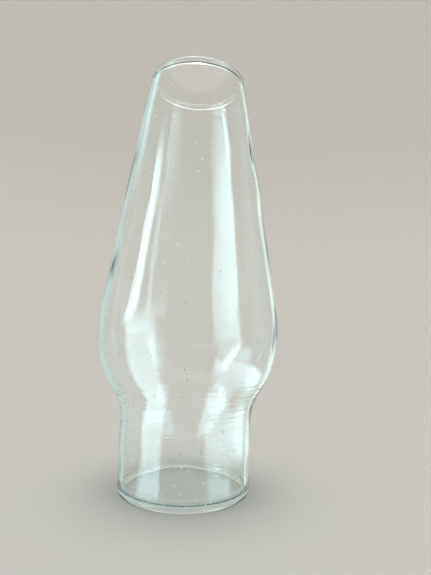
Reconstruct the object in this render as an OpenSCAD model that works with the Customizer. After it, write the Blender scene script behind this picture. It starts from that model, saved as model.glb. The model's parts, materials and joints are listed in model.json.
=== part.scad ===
// Glass chimney for an oil lamp: a straight fitter that stands in the burner, a
// pear-shaped bulge around the flame, and a long taper to an open top.
// It is blown in one piece, so it is one solid of revolution about Z.
// Z = 0 is the plane of the bottom rim. All sizes are in millimetres.

/* [Overall] */
// Height from the bottom rim to the top rim
height = 165; // [130:1:220]

/* [Fitter] */
// Outside diameter of the straight fitter that stands in the burner
fitter_d = 50.8; // [44:0.2:60]
// Height of the straight fitter, up to where the neck starts to widen
fitter_h = 26.5; // [16:0.5:40]
// Outside radius of the hollow curve between the fitter and the bulge
neck_r = 20; // [10:0.5:30]

/* [Bulge] */
// Outside diameter of the bulge at its widest
bulge_d = 70.8; // [64:0.2:84]
// Radius of the bulge's outline below its widest point
bulge_lower_r = 41.6; // [30:0.2:60]
// Radius of the bulge's outline above its widest point
bulge_upper_r = 56; // [30:1:90]

/* [Mouth] */
// Outside diameter of the wall at the top rim
mouth_d = 38.8; // [30:0.2:50]
// Length of the stretch below the top rim that draws in from the straight taper
draw_in_l = 18; // [6:1:30]
// How far the top rim draws in from the straight taper
draw_in = 0.5; // [0.1:0.1:2]

/* [Glass] */
// Thickness of the wall
wall = 1.8; // [1:0.1:2.4]
// Thickness of the rounded bead at the bottom rim
bottom_bead_d = 2.9; // [2.6:0.1:4.5]
// Width of the flat ring under the bottom bead, where the glass stands
foot_w = 0.8; // [0.4:0.1:2]
// Thickness of the rounded bead at the top rim
top_bead_d = 2.8; // [2.6:0.1:4]
// How far the top bead stands out from the wall
top_bead_out = 0.2; // [0:0.1:0.8]

/* [Hidden] */
// Steps in each curve of the outline
curve_steps = 10;
// Steps around the axis
$fn = 180;

// Bottom bead: its outside is flush with the fitter, so that a collar can slide on
bottom_bead_r = bottom_bead_d / 2;
bottom_bead_at = [fitter_d / 2 - bottom_bead_r, sqrt(pow(bottom_bead_r, 2) - pow(foot_w / 2, 2))];

// Top bead: its upper edge is the top of the part
top_bead_r = top_bead_d / 2;
top_bead_at = [mouth_d / 2 + top_bead_out - top_bead_r, height - top_bead_r];

// Neck and lower bulge: two arcs, one hollow and one full, that touch at shoulder_a
neck_at = [fitter_d / 2 + neck_r, fitter_h];
shoulder_a = acos(1 - (bulge_d - fitter_d) / 2 / (neck_r + bulge_lower_r));
bulge_z = fitter_h + (neck_r + bulge_lower_r) * sin(shoulder_a);
bulge_lower_at = [bulge_d / 2 - bulge_lower_r, bulge_z];
bulge_upper_at = [bulge_d / 2 - bulge_upper_r, bulge_z];

// Straight taper: the line from a point beside the top rim that touches the upper bulge
taper_end = [mouth_d / 2 + draw_in, top_bead_at.y];
taper_run = taper_end - bulge_upper_at;
taper_a = atan2(taper_run.y, taper_run.x) - acos(bulge_upper_r / norm(taper_run));

// Drawn-in top: an arc that leaves the taper and ends at the top rim
draw_in_run = draw_in_l + draw_in * sin(taper_a);
draw_in_drop = draw_in * cos(taper_a);
draw_in_r = (pow(draw_in_run, 2) + pow(draw_in_drop, 2)) / (2 * draw_in_drop);
draw_in_start = taper_end - draw_in_l * [-sin(taper_a), cos(taper_a)];
draw_in_at = draw_in_start - draw_in_r * [cos(taper_a), sin(taper_a)];
draw_in_a = asin(draw_in_run / draw_in_r);

// The direction at angle a above the horizontal
function toward(a) = [cos(a), sin(a)];

// Stations along an arc after its first point, each [outside point, outward direction of
// the wall]. A negative radius gives a hollow arc, whose centre lies outside the glass.
function arc_stations(centre, r, from, to) = [
    for (i = [1 : curve_steps])
        let (a = from + (to - from) * i / curve_steps) [centre + r * toward(a), a]
];

// The whole wall from the bottom bead to the top bead
function wall_stations() = concat(
    [[[fitter_d / 2, bottom_bead_at.y], 0]],
    [[[fitter_d / 2, fitter_h], 0]],
    arc_stations(neck_at, -neck_r, 0, -shoulder_a),
    arc_stations(bulge_lower_at, bulge_lower_r, -shoulder_a, 0),
    arc_stations(bulge_upper_at, bulge_upper_r, 0, taper_a),
    [[draw_in_start, taper_a]],
    arc_stations(draw_in_at, draw_in_r, taper_a, taper_a + draw_in_a)
);

// The points of those stations, moved depth into the glass
function wall_line(depth) = [for (s = wall_stations()) s[0] - depth * toward(s[1])];

// The same line from its other end
function reversed(line) = [for (i = [len(line) - 1 : -1 : 0]) line[i]];

module wall_outline() {
    polygon(concat(wall_line(0), reversed(wall_line(wall))));
}

module bottom_bead_outline() {
    intersection() {
        translate(bottom_bead_at) circle(r = bottom_bead_r);
        square([fitter_d, bottom_bead_d]);
    }
}

module top_bead_outline() {
    translate(top_bead_at) circle(r = top_bead_r);
}

module glass_chimney() {
    color([0.86, 0.94, 0.93, 0.45])
        rotate_extrude() {
            wall_outline();
            bottom_bead_outline();
            top_bead_outline();
        }
}

glass_chimney();
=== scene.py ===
"""Looks of a blown-glass chimney for an oil lamp, built round its CAD frame.

The chimney is one glass mesh: the wall's outside and inside, both rims rounded as melted glass
is, the small unevenness of a blown wall, and a few air bubbles in the wall. It stands on a pale
floor that curves up into a wall all round. The world and a lamp overhead light it, and what the
glass mirrors are glowing panels round it and glowing patches of the floor.
"""
import json
import math
import random

import bpy
from mathutils import Matrix, Vector, noise


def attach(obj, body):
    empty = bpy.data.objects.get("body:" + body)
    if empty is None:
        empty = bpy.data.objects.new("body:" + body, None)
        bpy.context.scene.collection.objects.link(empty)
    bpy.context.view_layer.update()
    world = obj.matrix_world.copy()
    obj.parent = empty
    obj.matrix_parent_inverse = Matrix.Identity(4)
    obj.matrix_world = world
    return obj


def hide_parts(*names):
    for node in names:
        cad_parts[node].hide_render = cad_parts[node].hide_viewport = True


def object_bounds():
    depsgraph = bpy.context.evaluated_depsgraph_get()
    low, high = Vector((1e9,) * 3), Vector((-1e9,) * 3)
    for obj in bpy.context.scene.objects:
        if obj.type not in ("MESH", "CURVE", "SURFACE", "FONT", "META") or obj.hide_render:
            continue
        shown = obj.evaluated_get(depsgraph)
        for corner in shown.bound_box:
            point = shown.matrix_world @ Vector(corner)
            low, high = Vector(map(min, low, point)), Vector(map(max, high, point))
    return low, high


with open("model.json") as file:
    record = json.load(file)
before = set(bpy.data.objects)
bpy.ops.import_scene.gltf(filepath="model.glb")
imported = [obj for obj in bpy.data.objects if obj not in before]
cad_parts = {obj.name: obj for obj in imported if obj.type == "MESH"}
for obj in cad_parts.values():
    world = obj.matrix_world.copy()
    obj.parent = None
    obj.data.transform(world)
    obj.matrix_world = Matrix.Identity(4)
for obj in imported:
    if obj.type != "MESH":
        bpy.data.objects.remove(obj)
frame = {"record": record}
cad_low, cad_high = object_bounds()

MM = 0.001
TINY = 1e-6  # a difference in length that doesn't count

# ---------------------------------------------------------------- sizes, as in the CAD model
HEIGHT = cad_high.z - cad_low.z
BULGE_R = cad_high.x
FITTER_R = next(m for m in frame["record"]["mounts"] if m["name"] == "fitter")["dims"]["r_mm"] * MM
FITTER_H = 26.5 * MM
NECK_R = 20 * MM
BULGE_LOWER_R = 41.6 * MM
BULGE_UPPER_R = 56 * MM
MOUTH_R = 19.4 * MM
DRAW_IN_L = 18 * MM
DRAW_IN = 0.5 * MM
WALL = 1.8 * MM
BOTTOM_BEAD_R = 1.45 * MM
BOTTOM_BEAD_Z = 1.394 * MM
TOP_BEAD_R = 1.4 * MM
TOP_BEAD_OUT = 0.2 * MM

# ---------------------------------------------------------------- sizes of the mesh only
BEAD_FILLET_R = 2.2 * MM  # hollow curve where the melted bead runs into the wall
WALL_STEP = 1.7 * MM  # between rings of the wall
MOUTH_STEP = 0.42 * MM  # between rings of the wall near the top rim
BEAD_STEP = 0.32 * MM  # between rings of a bead
RING_POINTS = 288

# Unevenness of the wall, each kind as (how far it stands out, length round the wall, length up it)
SWELLS = (0.16 * MM, 24 * MM, 42 * MM)
RIPPLES = (0.19 * MM, 10 * MM, 18 * MM)
DRAWN_LINES = (0.014 * MM, 2.6 * MM, 90 * MM)
TOOL_MARKS = (0.016 * MM, 30 * MM, 1.5 * MM)
MEAN_R = 28 * MM  # radius at which those lengths round the wall hold
KIND_SHIFT = 7.3  # how far apart in the noise the kinds are
INSIDE_SHIFT = 0.35  # how far the inside differs, so that the wall is not equally thick all over
SMOOTHED = (14 * MM, 44 * MM)  # of the wall at the bottom and top, where all but the marks die away
RIM_SWELLS = 0.3  # the share of the swells that is left even at the rims
MARKED = 13 * MM  # of the wall below the top rim that has tool marks
MARKS_START, MARKS_END = 3 * MM, 6 * MM  # in which they grow below the rim and die away further down

BUBBLES = 12
BUBBLE_DRAW = 11  # seed of the random numbers that place them
BUBBLE_PLACES = (0.12, 0.96)  # as a share of the wall's length
BUBBLE_DEPTHS = (0.35, 0.65)  # as a share of the wall's thickness
BUBBLE_SIZES = (0.12 * MM, 0.32 * MM)  # their radius across
BUBBLE_STRETCH = (1.3, 2.6)  # how much longer they are along the wall
BUBBLE_RINGS, BUBBLE_POINTS = 8, 12

# ---------------------------------------------------------------- glass
GLASS_IOR = 1.52
TINT, TINT_DENSITY = (0.66, 0.95, 0.86, 1), 22.0  # what the glass itself absorbs
# What its surface lets through, seen face-on and edge-on, and where the change starts. The darker aqua
# edge-on is painted shade along the glass's outline
FACE_ON, EDGE_ON = (1, 1, 1, 1), (0.86, 0.94, 0.90, 1)
EDGE_BLEND, EDGE_START = 0.22, 0.15
# What it lets through of the light that falls on the floor behind it
SHADE_FACE_ON, SHADE_EDGE_ON = (0.95, 0.965, 0.96, 1), (0.42, 0.48, 0.47, 1)

DUST_COLOUR = (0.98, 0.98, 0.97, 1)
DUST_CELLS = 600.0  # per metre, each with one dot or none
DUST_SIZES = (0.08, 0.25)  # radius of a dot as a share of its cell
DUST_SIZE_DRAW = (0.3, 1)  # random numbers that give the smallest and the largest dots
DUST_PATCHES = {"Scale": 48.0, "Detail": 3.0}  # noise of the patches where dots are thick or thin
DUST_PATCH_SPAN = (0.42, 0.70)  # values of that noise in a thin and in a thick patch
DUST_SHARES = (0.04, 0.8)  # of the cells that have a dot, in a thin and in a thick patch
DUSTY = (30 * MM, 90 * MM)  # heights between which the dots get rarer
DUSTY_ABOVE = 0.5  # their share above that

SMEARS = {"Scale": 30.0, "Detail": 8.0, "Roughness": 0.65, "Distortion": 0.3}  # noise of the film
FILM_SPAN, FILM = (0.45, 0.75), 0.03  # its values from no film to a full one, and how much that hides
ROUGH_SPAN, ROUGHNESS = (0.5, 0.75), 0.10  # and from a polished surface to this roughness

RIBBED = (18 * MM, 50 * MM)  # stretch of the neck and lower bulge that has fine ribs round it
RIB_FADE = 8 * MM  # in which the ribs start and end
RIB_HEIGHT = 0.13 * MM
RIBS = {"Scale": 45, "Detail": 1.0}  # noise that draws them
RIB_STRETCH = 16  # how much longer they are round the wall than up it

# ---------------------------------------------------------------- camera
PHOTO_H = 575  # height of the photograph in pixels
PHOTO_FOCAL = 432  # focal length in its pixels
SENSOR = 36  # in millimetres, as Blender counts it
CAMERA_AZIMUTH = math.radians(45)  # the glass is round, so any azimuth shows the same outline
CAMERA_DISTANCE = 1.0594 * HEIGHT
CAMERA_HEIGHT = 0.3782 * HEIGHT
CAMERA_YAW = math.radians(3.29)  # turned to the right of the glass's axis
CAMERA_PITCH = math.radians(5.24)
CAMERA_ROLL = math.radians(1.79)
CLIP_START = 10 * MM

# ---------------------------------------------------------------- stage
FLOOR_R, CURVE_R, WALL_TOP = 1.45, 1.3, 3.2
BACKDROP_POINTS, CURVE_STEPS = 96, 32
BACKDROP_COLOUR = (0.547, 0.53, 0.505)
# How much paler it is there, as (radius, factor), so that it looks even although the lamp
# reaches it less
EVENED = ((0.5, 1.0), (1.5, 1.17), (1.95, 1.20), (2.4, 1.25))

WORLD_COLOUR, WORLD_STRENGTH = (1.0, 0.99, 0.97, 1), 1.1
LAMP_SIZE, LAMP_POWER, LAMP_HEIGHT = 1.2, 17, 2.4

PANEL_DISTANCE = 1.4
PANEL_COLOUR = (0.68, 0.95, 1.0, 1)
EDGE_COLOUR = (0.86, 1.0, 0.96, 1)  # of the panels that light the glass's outline from behind
PANEL_POINTS = 25  # along each side of a panel
# A panel's left, right, lower and upper edge, as (axis, place on it, direction into the panel)
PANEL_EDGES = (("X", 0, 1), ("X", 1, -1), ("Y", 0, 1), ("Y", 1, -1))
DIRECT = 0.35  # the share of the windows' and the broad strip's glow that lights dust and floor too
CARD_HEIGHT = 0.5 * MM
WHOLE_FLOOR = (0.005, FLOOR_R)  # reach of the cards that run from the glass to where it curves up

BOUNCES = 24


# ---------------------------------------------------------------- general
def toward(a):
    """The direction at angle a in a plane."""
    return Vector((math.cos(a), math.sin(a)))


def angle_of(direction):
    return math.atan2(direction.y, direction.x)


def ease(x):
    """0 up to x = 0, 1 from x = 1, and a smooth step between."""
    x = min(1, max(0, x))
    return x * x * (3 - 2 * x)


def steps(ends, n):
    """n numbers from the first end to the last."""
    return [ends[0] + (ends[1] - ends[0]) * i / (n - 1) for i in range(n)]


def link_mesh(name, verts, faces, smooth=False):
    mesh = bpy.data.meshes.new(name)
    mesh.from_pydata(verts, [], faces)
    if smooth:
        mesh.shade_smooth()
    ob = bpy.data.objects.new(name, mesh)
    bpy.context.collection.objects.link(ob)
    return ob


# ---------------------------------------------------------------- the chimney's mesh
class Wall:
    """The outside of the wall as a line of length `length`, from the bottom rim's plane up."""

    def __init__(self):
        shoulder = math.acos(1 - (BULGE_R - FITTER_R) / (NECK_R + BULGE_LOWER_R))
        bulge_z = FITTER_H + (NECK_R + BULGE_LOWER_R) * math.sin(shoulder)
        neck = Vector((FITTER_R + NECK_R, FITTER_H))
        lower = Vector((BULGE_R - BULGE_LOWER_R, bulge_z))
        upper = Vector((BULGE_R - BULGE_UPPER_R, bulge_z))
        end = Vector((MOUTH_R + DRAW_IN, HEIGHT - TOP_BEAD_R))
        run = end - upper
        taper = angle_of(run) - math.acos(BULGE_UPPER_R / run.length)
        curved = DRAW_IN_L + DRAW_IN * math.sin(taper)
        drop = DRAW_IN * math.cos(taper)
        mouth_r = (curved ** 2 + drop ** 2) / (2 * drop)
        along = Vector((-math.sin(taper), math.cos(taper)))
        start = end - DRAW_IN_L * along
        mouth = start - mouth_r * toward(taper)
        tangent = upper + BULGE_UPPER_R * toward(taper)
        turn = math.asin(curved / mouth_r)
        self.lean = taper + turn
        # Each stretch is (length, centre, first angle, radius). A radius below 0 makes it hollow.
        # A radius of 0 makes it straight, and its first point then stands for the centre.
        self.stretches = [
            (FITTER_H, Vector((FITTER_R, 0)), 0, 0),
            (NECK_R * shoulder, neck, 0, -NECK_R),
            (BULGE_LOWER_R * shoulder, lower, -shoulder, BULGE_LOWER_R),
            (BULGE_UPPER_R * taper, upper, 0, BULGE_UPPER_R),
            ((start - tangent).length, tangent, taper, 0),
            (mouth_r * turn, mouth, taper, mouth_r),
        ]
        self.length = sum(s[0] for s in self.stretches)

    def at(self, s):
        """The outside point and its outward direction, s along the wall.

        Past an end the wall runs on straight.
        """
        for i, (length, place, angle, r) in enumerate(self.stretches):
            if s <= length or i == len(self.stretches) - 1:
                break
            s -= length
        if r == 0:
            return place + s * Vector((-math.sin(angle), math.cos(angle))), toward(angle)
        inside = min(s, length)
        turned = angle + inside / abs(r) * (1 if r > 0 else -1)
        out = toward(turned)
        return place + r * out + (s - inside) * Vector((-out.y, out.x)), out


def bead_arc(centre, r, start, end):
    """Points of an arc of a bead's outline, its first left out."""
    n = max(2, round(abs(end - start) * r / BEAD_STEP))
    return [centre + r * toward(start + (end - start) * i / n) for i in range(1, n + 1)]


def bead(r, depth):
    """The outline round one rim, as (distance from the rim's tip, depth below the outside).

    It runs from the outside of the wall, over the bead, to the inside of the wall. The bead is a
    circle of radius r whose centre is depth below the outside. A hollow fillet leads to it on the
    inside, and another on the outside where the bead stands out.
    """
    centre = Vector((r, depth))
    reach = r + BEAD_FILLET_R
    if depth < r - TINY:
        along = math.sqrt(reach ** 2 - (BEAD_FILLET_R + depth) ** 2)
        outer = Vector((r + along, -BEAD_FILLET_R))
        points = [Vector((outer.x, 0))]
        points += bead_arc(outer, BEAD_FILLET_R, math.pi / 2, angle_of(centre - outer))
        first = angle_of(outer - centre)
    else:
        points = [Vector((r, 0))]
        first = -math.pi / 2
    inner_depth = WALL + BEAD_FILLET_R
    inner = Vector((r + math.sqrt(reach ** 2 - (inner_depth - depth) ** 2), inner_depth))
    points += bead_arc(centre, r, first, angle_of(inner - centre) - 2 * math.pi)
    points += bead_arc(inner, BEAD_FILLET_R, angle_of(centre - inner), -math.pi / 2)
    return points


def wall_rings(low, high):
    """Places of the wall's rings between low and high, closer together near the top rim."""
    middle = high - MARKED
    places = []
    for start, end, step in ((low, middle, WALL_STEP), (middle, high, MOUTH_STEP)):
        n = round((end - start) / step)
        places += [start + (end - start) * i / n for i in range(n)]
    return places[1:]


def chimney_outline(wall):
    """The closed outline in (length along the wall, depth below the outside)."""
    bottom_tip = BOTTOM_BEAD_Z - BOTTOM_BEAD_R
    bottom = [Vector((bottom_tip + p.x, p.y)) for p in bead(BOTTOM_BEAD_R, BOTTOM_BEAD_R)]
    depth = TOP_BEAD_R - TOP_BEAD_OUT
    top_tip = wall.length + TOP_BEAD_R + depth * math.tan(wall.lean)
    top = [Vector((top_tip - p.x, p.y)) for p in bead(TOP_BEAD_R, depth)]
    outside = [Vector((s, 0)) for s in wall_rings(bottom[0].x, top[0].x)]
    inside = [Vector((s, WALL)) for s in wall_rings(bottom[-1].x, top[-1].x)]
    return outside + top + list(reversed(inside)) + list(reversed(bottom))


def uneven(azimuth, z, side):
    """How far the wall stands out there. side is 0 on the outside and 1 on the inside."""
    below_top = HEIGHT - z
    away = ease(z / SMOOTHED[0]) * ease(below_top / SMOOTHED[1])
    marked = ease(below_top / MARKS_START) * ease((MARKED - below_top) / MARKS_END)
    kinds = (
        (SWELLS, RIM_SWELLS + (1 - RIM_SWELLS) * away),
        (RIPPLES, away),
        (DRAWN_LINES, away),
        (TOOL_MARKS, marked),
    )
    total = 0
    for i, ((amount, across, up), share) in enumerate(kinds):
        x, y = MEAN_R / across * toward(azimuth)
        place = Vector((x + KIND_SHIFT * i, y, z / up + INSIDE_SHIFT * i * side))
        total += share * amount * noise.noise(place)
    return total


def bubble_mesh(random_numbers, wall, first):
    """One air bubble inside the wall, its faces turned to the air inside it.

    first is the number of its first vertex in the chimney's mesh.
    """
    along = random_numbers.uniform(*BUBBLE_PLACES) * wall.length
    depth = random_numbers.uniform(*BUBBLE_DEPTHS) * WALL
    azimuth = random_numbers.uniform(0, 2 * math.pi)
    r = random_numbers.uniform(*BUBBLE_SIZES)
    stretch = random_numbers.uniform(*BUBBLE_STRETCH)
    place, out = wall.at(along)
    place = place - depth * out
    round_out = Vector((math.cos(azimuth), math.sin(azimuth), 0))
    up = Vector((0, 0, 1))
    centre = place.x * round_out + place.y * up
    normal = out.x * round_out + out.y * up
    length = out.x * up - out.y * round_out
    side = normal.cross(length)
    verts = []
    for i in range(BUBBLE_RINGS + 1):
        tilt = math.pi * i / BUBBLE_RINGS
        for k in range(BUBBLE_POINTS if 0 < i < BUBBLE_RINGS else 1):
            a = 2 * math.pi * k / BUBBLE_POINTS
            around = math.sin(tilt) * (math.cos(a) * normal + math.sin(a) * side)
            verts.append(centre + r * around + r * stretch * math.cos(tilt) * length)
    last = first + len(verts) - 1
    faces = []
    for k in range(BUBBLE_POINTS):
        m = (k + 1) % BUBBLE_POINTS
        faces.append((first, first + 1 + m, first + 1 + k))
        faces.append((last, last - BUBBLE_POINTS + k, last - BUBBLE_POINTS + m))
        for i in range(BUBBLE_RINGS - 2):
            ring = first + 1 + i * BUBBLE_POINTS
            following = ring + BUBBLE_POINTS
            faces.append((ring + k, ring + m, following + m, following + k))
    return verts, faces


def make_chimney():
    wall = Wall()
    outline = chimney_outline(wall)
    verts = []
    for along, depth in outline:
        place, out = wall.at(along)
        p = place - depth * out
        side = min(1, max(0, depth / WALL))
        for k in range(RING_POINTS):
            a = 2 * math.pi * k / RING_POINTS
            r = p.x + uneven(a, p.y, side)
            verts.append((r * math.cos(a), r * math.sin(a), max(p.y, 0)))
    faces = []
    for i in range(len(outline)):
        ring = i * RING_POINTS
        following = (i + 1) % len(outline) * RING_POINTS
        for k in range(RING_POINTS):
            m = (k + 1) % RING_POINTS
            faces.append((ring + k, ring + m, following + m, following + k))
    random_numbers = random.Random(BUBBLE_DRAW)
    for _ in range(BUBBLES):
        bubble_verts, bubble_faces = bubble_mesh(random_numbers, wall, len(verts))
        verts += bubble_verts
        faces += bubble_faces
    return link_mesh("glass_chimney_blown", verts, faces, smooth=True)


# ---------------------------------------------------------------- materials
class Graph:
    """The nodes of a new material, with short ways to add to them."""

    def __init__(self, name):
        self.material = bpy.data.materials.new(name)
        self.material.use_nodes = True
        self.nodes = self.material.node_tree.nodes
        self.links = self.material.node_tree.links
        self.shader = self.nodes["Principled BSDF"]
        self.result = self.nodes["Material Output"].inputs

    def feed(self, socket, value):
        """Links an input to an output, or gives it a number or a colour."""
        if isinstance(value, bpy.types.NodeSocket):
            self.links.new(value, socket)
        else:
            socket.default_value = value

    def add(self, kind, **settings):
        """A new node. A setting with an input's name feeds that input, any other is the node's own."""
        node = self.nodes.new("ShaderNode" + kind)
        for name, value in settings.items():
            if hasattr(node, name):
                setattr(node, name, value)
            else:
                self.feed(node.inputs[name.replace("_", " ")], value)
        return node

    def spread(self, source, span, onto=(0, 1), interpolation="LINEAR"):
        """Maps source from the ends of span to those of onto, and holds it beyond them."""
        node = self.add("MapRange", interpolation_type=interpolation, Value=source)
        for name, value in zip(("From Min", "From Max", "To Min", "To Max"), (*span, *onto)):
            node.inputs[name].default_value = value
        return node.outputs["Result"]

    def calculate(self, operation, *values):
        node = self.add("Math", operation=operation)
        for socket, value in zip(node.inputs, values):
            self.feed(socket, value)
        return node.outputs["Value"]

    def ramp(self, source, stops, interpolation="LINEAR"):
        """The colour at source of a ramp with those stops, each (place, colour)."""
        node = self.add("ValToRGB", Fac=source)
        node.color_ramp.interpolation = interpolation
        elements = node.color_ramp.elements
        for i, (place, colour) in enumerate(stops):
            stop = elements[i] if i < 2 else elements.new(1)
            stop.position = place
            stop.color = colour
        return node.outputs["Color"]

    def mix(self, share, first, second):
        """The first shader with that share of the second in its place."""
        node = self.add("MixShader")
        for socket, value in zip(node.inputs, (share, first.outputs[0], second.outputs[0])):
            self.feed(socket, value)
        return node.outputs["Shader"]


def dust_dots(g, place, z):
    """1 in small dots of dust and 0 beside them. They are thick in some patches and low down."""
    patch = g.add("TexNoise", Vector=place, **DUST_PATCHES).outputs["Fac"]
    cells = g.add("TexVoronoi", Vector=place, Scale=DUST_CELLS).outputs
    drawn = g.add("SeparateColor", Color=cells["Color"]).outputs
    size = g.spread(drawn["Green"], DUST_SIZE_DRAW, DUST_SIZES)
    share = g.spread(patch, DUST_PATCH_SPAN, DUST_SHARES)
    share = g.calculate("MULTIPLY", share, g.spread(z, DUSTY, (1, DUSTY_ABOVE)))
    inside = g.calculate("LESS_THAN", cells["Distance"], size)
    chosen = g.calculate("LESS_THAN", drawn["Red"], share)
    return g.calculate("MULTIPLY", inside, chosen)


def ribbed_normal(g, place, z):
    """Fine ribs round the neck and the lower bulge, left by the mould that the glass turned in."""
    stretched = g.add("Mapping", Vector=place, Scale=(1, 1, RIB_STRETCH)).outputs["Vector"]
    ribs = g.add("TexNoise", Vector=stretched, **RIBS).outputs["Fac"]
    rises = g.spread(z, (RIBBED[0], RIBBED[0] + RIB_FADE))
    falls = g.spread(z, (RIBBED[1] - RIB_FADE, RIBBED[1]), (1, 0))
    ribbed = g.calculate("MULTIPLY", rises, falls)
    height = g.calculate("MULTIPLY", ribbed, ribs)
    return g.add("Bump", Distance=RIB_HEIGHT, Height=height).outputs["Normal"]


def surface_colour(g, facing, dust):
    """Clear glass with painted aqua shade where it is seen edge-on, and pale dust on it."""
    # painted shade: the colour turns a darker aqua towards the outline, where the glass is seen
    # edge-on
    glass_with_painted_edge_shade = g.ramp(facing, ((EDGE_START, FACE_ON), (1, EDGE_ON)))
    dusted = g.add("Mix", data_type="RGBA", Factor=dust, A=glass_with_painted_edge_shade, B=DUST_COLOUR)
    return dusted.outputs["Result"]


def lit_through(g, facing):
    """The glass as lamps shine through it onto the floor, less where they meet it edge-on."""
    path = g.add("LightPath").outputs
    lamp = g.calculate("MAXIMUM", path["Is Shadow Ray"], path["Is Diffuse Ray"])
    shade = g.ramp(facing, ((0, SHADE_FACE_ON), (1, SHADE_EDGE_ON)))
    return g.mix(lamp, g.shader, g.add("BsdfTransparent", Color=shade))


def glass_material():
    g = Graph("clear_glass")
    place = g.add("TexCoord").outputs["Object"]
    z = g.add("SeparateXYZ", Vector=place).outputs["Z"]
    facing = g.add("LayerWeight", Blend=EDGE_BLEND).outputs["Facing"]
    dust = dust_dots(g, place, z)
    smear = g.add("TexNoise", Vector=place, **SMEARS).outputs["Fac"]
    hidden = g.calculate("MAXIMUM", dust, g.spread(smear, FILM_SPAN, (0, FILM)))
    surface = {
        "Base Color": surface_colour(g, facing, dust),
        "IOR": GLASS_IOR,
        "Roughness": g.spread(smear, ROUGH_SPAN, (0, ROUGHNESS)),
        "Transmission Weight": g.calculate("SUBTRACT", 1.0, hidden),
        "Normal": ribbed_normal(g, place, z),
    }
    for name, value in surface.items():
        g.feed(g.shader.inputs[name], value)
    absorbs = g.add("VolumeAbsorption", Color=TINT, Density=TINT_DENSITY)
    g.feed(g.result["Volume"], absorbs.outputs["Volume"])
    g.feed(g.result["Surface"], lit_through(g, facing))
    return g.material


def backdrop_material():
    """A matt surface whose colour goes by the level distance from the glass's axis."""
    g = Graph("backdrop")
    flat = g.add("VectorMath", operation="MULTIPLY")
    g.feed(flat.inputs[0], g.add("TexCoord").outputs["Object"])
    g.feed(flat.inputs[1], (1, 1, 0))
    radius = g.add("VectorMath", operation="LENGTH", Vector=flat.outputs["Vector"])
    reach = FLOOR_R + CURVE_R
    stops = []
    for r, factor in EVENED:
        red, green, blue = (c * factor for c in BACKDROP_COLOUR)
        stops.append((r / reach, (red, green, blue, 1)))
    colour = g.ramp(g.calculate("DIVIDE", radius.outputs["Value"], reach), stops, "EASE")
    g.feed(g.result["Surface"], g.add("BsdfDiffuse", Color=colour).outputs["BSDF"])
    g.nodes.remove(g.shader)
    return g.material


def glow_material(name, strength, fades, colour, direct):
    """A glow that fades out towards the edges of the layer of UVs named "panel".

    fades is how much of it fades at the left, right, lower and upper edge. All of it shows in what
    the glass reflects, but only the share direct of it elsewhere, so that the backdrop stays even.
    """
    g = Graph(name)
    g.material.cycles.emission_sampling = "FRONT_BACK" if direct else "NONE"
    place = g.add("SeparateXYZ", Vector=g.add("UVMap", uv_map="panel").outputs["UV"]).outputs
    reflected = g.calculate("MINIMUM", g.add("LightPath").outputs["Glossy Depth"], 1.0)
    level = g.calculate("MAXIMUM", reflected, direct)
    for fade, (axis, edge, inward) in zip(fades, PANEL_EDGES):
        faded = g.spread(place[axis], (edge, edge + inward * fade), interpolation="SMOOTHSTEP")
        level = g.calculate("MULTIPLY", faded, level)
    glow = g.add("Emission", Color=colour, Strength=strength)
    g.feed(g.result["Surface"], g.mix(level, g.add("BsdfTransparent"), glow))
    g.nodes.remove(g.shader)
    return g.material


# ---------------------------------------------------------------- camera and stage
def make_camera():
    camera = bpy.data.cameras.new("camera")
    camera.sensor_width = SENSOR
    camera.lens = PHOTO_FOCAL / PHOTO_H * SENSOR
    camera.clip_start = CLIP_START
    ob = bpy.data.objects.new("camera", camera)
    bpy.context.collection.objects.link(ob)
    place = Matrix.Translation((0, -CAMERA_DISTANCE, CAMERA_HEIGHT))
    stand = Matrix.Rotation(CAMERA_AZIMUTH, 4, "Z") @ place
    turn = Matrix.Rotation(-CAMERA_YAW, 4, "Z") @ Matrix.Rotation(math.pi / 2 + CAMERA_PITCH, 4, "X")
    ob.matrix_world = stand @ turn @ Matrix.Rotation(CAMERA_ROLL, 4, "Z")
    bpy.context.scene.camera = ob


def make_backdrop():
    """A round floor that curves up into a wall on all sides."""
    profile = [(FLOOR_R / 2, 0)]
    for i in range(CURVE_STEPS + 1):
        out = toward(math.pi / 2 * (i / CURVE_STEPS - 1))
        profile.append((FLOOR_R + CURVE_R * out.x, CURVE_R * (1 + out.y)))
    profile.append((FLOOR_R + CURVE_R, WALL_TOP))
    n = BACKDROP_POINTS
    verts = [(0, 0, 0)]
    for r, z in profile:
        for k in range(n):
            a = 2 * math.pi * k / n
            verts.append((r * math.cos(a), r * math.sin(a), z))
    faces = [(0, 1 + k, 1 + (k + 1) % n) for k in range(n)]
    for i in range(len(profile) - 1):
        ring = 1 + i * n
        for k in range(n):
            m = (k + 1) % n
            faces.append((ring + k, ring + n + k, ring + n + m, ring + m))
    ob = link_mesh("backdrop", verts, faces, smooth=True)
    ob.data.materials.append(backdrop_material())


def finish_panel(name, rows, strength, fades, colour, direct):
    """Makes a panel from rows of points, lowest row first, each from left to right."""
    n = len(rows[0])
    faces = []
    for i in range(len(rows) - 1):
        for k in range(i * n, i * n + n - 1):
            faces.append((k, k + 1, k + n + 1, k + n))
    ob = link_mesh(name, [p for row in rows for p in row], faces)
    layer = ob.data.uv_layers.new(name="panel")
    for loop in ob.data.loops:
        row, k = divmod(loop.vertex_index, n)
        layer.data[loop.index].uv = (k / (n - 1), row / (len(rows) - 1))
    ob.data.materials.append(glow_material(name, strength, fades, colour, direct))


def away_from_glass(azimuth):
    """The level direction that is azimuth degrees to the right of the camera, seen from the glass."""
    a = CAMERA_AZIMUTH + math.radians(azimuth)
    return Vector((math.sin(a), -math.cos(a), 0))


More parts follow.
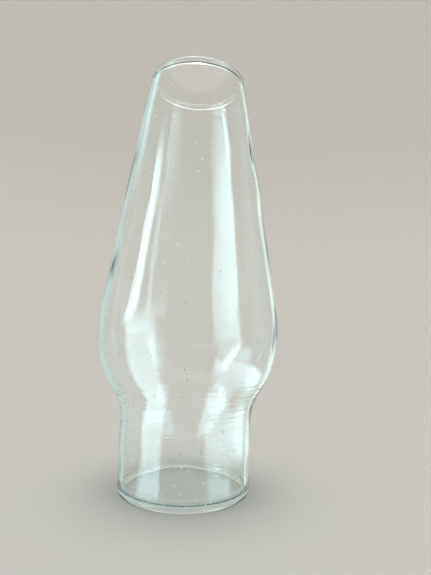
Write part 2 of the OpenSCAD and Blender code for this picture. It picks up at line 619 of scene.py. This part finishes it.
def make_panel(name, azimuths, elevations, strength, fades, lean=0, colour=PANEL_COLOUR, direct=0.0):
    """A glowing panel that curves round the glass.

    azimuths are its sides, in degrees to the right of the camera, and elevations its lower and
    upper edge. It bends towards its foot, which stands lean degrees further to the right.
    """
    rows = []
    for v in steps((0, 1), PANEL_POINTS):
        e = math.radians(elevations[0] + (elevations[1] - elevations[0]) * v)
        row = []
        for azimuth in steps(azimuths, PANEL_POINTS):
            level = away_from_glass(azimuth + lean * (1 - v) ** 2)
            row.append(PANEL_DISTANCE * (math.cos(e) * level + Vector((0, 0, math.sin(e)))))
        rows.append(row)
    finish_panel(name, rows, strength, fades, colour, direct)


def make_floor_card(name, azimuths, reach, strength, fades, colour=PANEL_COLOUR):
    """A glowing patch of the floor, seen only as a reflection. Its first row is the far one.

    The wall reflects towards azimuth what it meets at half of that azimuth, so a card with its
    sides along such rays looks upright in the glass. reach is where the card starts and ends on
    them.
    """
    rows = []
    for distance in reversed(reach):
        row = []
        for azimuth in steps(azimuths, PANEL_POINTS):
            p = FITTER_R * away_from_glass(azimuth / 2) + distance * away_from_glass(azimuth)
            row.append(p + Vector((0, 0, CARD_HEIGHT)))
        rows.append(row)
    finish_panel(name, rows, strength, fades, colour, direct=0.0)


def make_lights():
    world = bpy.data.worlds.new("room")
    world.use_nodes = True
    background = world.node_tree.nodes["Background"]
    background.inputs["Color"].default_value = WORLD_COLOUR
    background.inputs["Strength"].default_value = WORLD_STRENGTH
    bpy.context.scene.world = world
    lamp = bpy.data.lights.new("overhead", "AREA")
    lamp.shape = "DISK"
    lamp.size = LAMP_SIZE
    lamp.energy = LAMP_POWER
    overhead = bpy.data.objects.new("overhead", lamp)
    overhead.location = (0, 0, LAMP_HEIGHT)
    bpy.context.collection.objects.link(overhead)


def make_reflections():
    """What the glass mirrors: panels as (azimuths, elevations, strength, fades), and floor cards."""
    # The broad streak on the right, the patch on the left of the bulge, the bright streak that
    # runs down the left of the taper, and the faint one beside it
    make_panel("window_right", (28, 67), (-2, 50), 3.2, (0.75, 0.05, 0.45, 0.2), direct=DIRECT)
    make_panel("window_left", (-84, -32), (-3, 24), 5.0, (0.08, 0.4, 0.01, 0.85), direct=DIRECT)
    make_panel("strip_left", (-76, -60), (2, 46), 8.0, (0.12, 0.4, 0.35, 0.3), lean=-18, direct=DIRECT)
    make_panel("strip_thin", (-57, -50), (6, 44), 2.5, (0.3, 0.3, 0.3, 0.3))
    # The pale line at the left of the mouth, and the ones down both sides of the glass
    make_panel("high_left", (-136, -114), (24, 76), 1.8, (0.3, 0.3, 0.3, 0.2))
    make_panel("edge_left", (-165, -124), (-2, 50), 0.7, (0.3, 0.2, 0.01, 0.2), colour=EDGE_COLOUR)
    make_panel("edge_right", (134, 150), (-2, 50), 1.1, (0.4, 0.4, 0.01, 0.2), colour=EDGE_COLOUR)
    # The columns on the fitter, the striped patches above it, the bottom bead, and the pale
    # lines down both sides of the fitter
    make_floor_card("card_left", (-84, -36), WHOLE_FLOOR, 4.0, (0.1, 0.15, 0.01, 0.005))
    make_floor_card("card_right", (34, 90), (0.005, 0.37), 3.0, (0.3, 0.2, 0.6, 0.02))
    make_floor_card("card_low", (30, 130), (0.03, 0.13), 4.0, (0.1, 0.2, 0.3, 0.6))
    make_floor_card("card_rim", (-150, 150), (0.001, 0.009), 2.5, (0.25, 0.25, 0.4, 0.4))
    make_floor_card("card_edge_left", (-165, -124), WHOLE_FLOOR, 0.7, (0.3, 0.2, 0.01, 0.005),
                    colour=EDGE_COLOUR)
    make_floor_card("card_edge_right", (134, 150), WHOLE_FLOOR, 1.1, (0.4, 0.4, 0.01, 0.005),
                    colour=EDGE_COLOUR)


make_camera()
chimney = make_chimney()
chimney.data.materials.append(glass_material())
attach(chimney, "root")
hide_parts("glass_chimney")
make_backdrop()
make_lights()
make_reflections()

scene = bpy.context.scene
scene.view_settings.view_transform = "Standard"
scene.cycles.caustics_refractive = False
scene.cycles.max_bounces = BOUNCES
scene.cycles.transmission_bounces = BOUNCES
scene.cycles.transparent_max_bounces = BOUNCES
